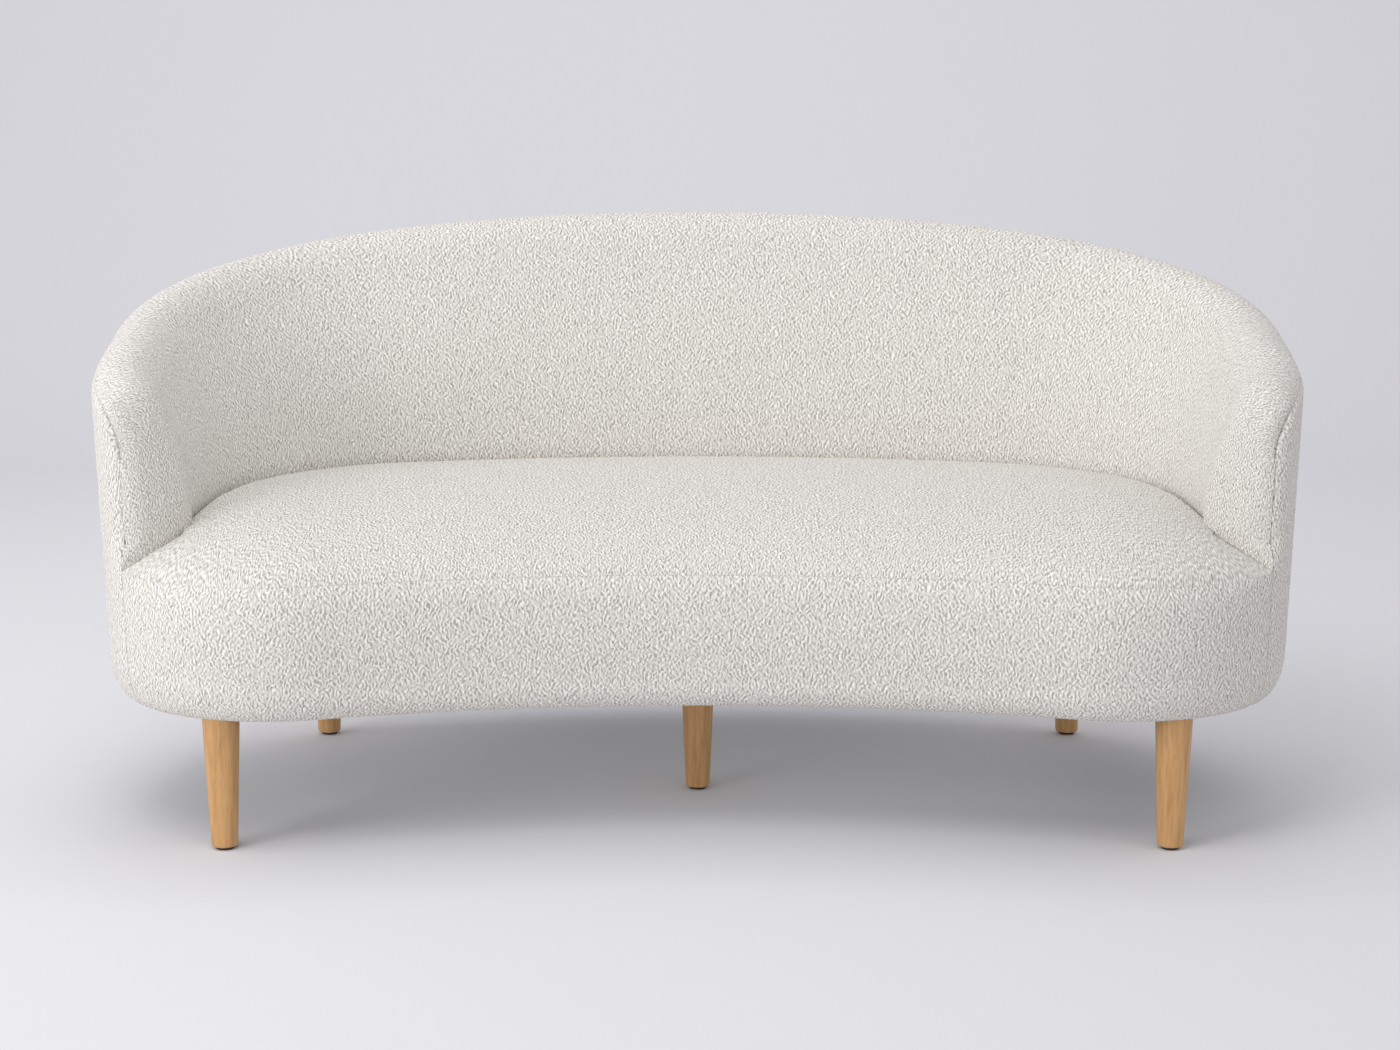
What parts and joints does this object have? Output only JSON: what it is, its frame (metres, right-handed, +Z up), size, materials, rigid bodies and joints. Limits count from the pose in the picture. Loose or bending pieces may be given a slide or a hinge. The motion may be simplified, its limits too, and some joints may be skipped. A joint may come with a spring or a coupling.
{
  "type": "curved two-seater sofa",
  "caption": "Curved two-seater sofa with a wrap-round back falling to low arms, a crowned fixed seat with a hollow front, looped fabric covers and turned tapered wood legs.",
  "frame": {"origin": "on the floor, under the middle of the sofa's width and depth", "axes": "+X to the right as seen from the front, +Y to the back, +Z up; the front faces -Y"},
  "size_m": [1.6668, 0.8538, 0.8252],
  "materials": {
    "boucle": "looped ivory boucle",
    "foam": "upholstery foam",
    "plywood": "raw plywood",
    "board": "raw hardboard",
    "oak": "clear satin lacquer",
    "glide": "dark matt",
    "steel": "zinc plated",
    "webbing": "woven elastic",
    "dust_cloth": "black non-woven"
  },
  "bodies": {
    "root": {"back_upright_1_left": "plywood", "back_upright_1_right": "plywood", "back_upright_2_left": "plywood", "back_upright_2_right": "plywood", "back_upright_3_left": "plywood", "back_upright_3_right": "plywood", "back_upright_centre": "plywood", "base_post_1_left": "plywood", "base_post_1_right": "plywood", "base_post_2_left": "plywood", "base_post_2_right": "plywood", "base_post_3_left": "plywood", "base_post_3_right": "plywood", "base_post_4_left": "plywood", "base_post_4_right": "plywood", "centre_beam": "plywood", "centre_block": "plywood", "dust_cover": "dust_cloth", "front_cover": "boucle", "front_pad": "foam", "front_skin": "board", "glide_centre": "glide", "glide_front_left": "glide", "glide_front_right": "glide", "glide_rear_left": "glide", "glide_rear_right": "glide", "inside_cover": "boucle", "inside_foam": "foam", "inside_skin": "board", "leg_bolt_centre": "steel", "leg_bolt_front_left": "steel", "leg_bolt_front_right": "steel", "leg_bolt_rear_left": "steel", "leg_bolt_rear_right": "steel", "leg_centre": "oak", "leg_front_left": "oak", "leg_front_right": "oak", "leg_rear_left": "oak", "leg_rear_right": "oak", "lower_ring": "plywood", "outside_cover": "boucle", "outside_pad": "foam", "outside_skin": "board", "seat_cover": "boucle", "seat_foam": "foam", "seat_ring": "plywood", "spreader_left": "plywood", "spreader_right": "plywood", "tee_nut_centre": "steel", "tee_nut_front_left": "steel", "tee_nut_front_right": "steel", "tee_nut_rear_left": "steel", "tee_nut_rear_right": "steel", "top_rail": "plywood", "webbing_strap_1": "webbing", "webbing_strap_2": "webbing", "webbing_strap_3": "webbing", "webbing_strap_4": "webbing", "webbing_strap_5": "webbing"}
  },
  "joints": []
}
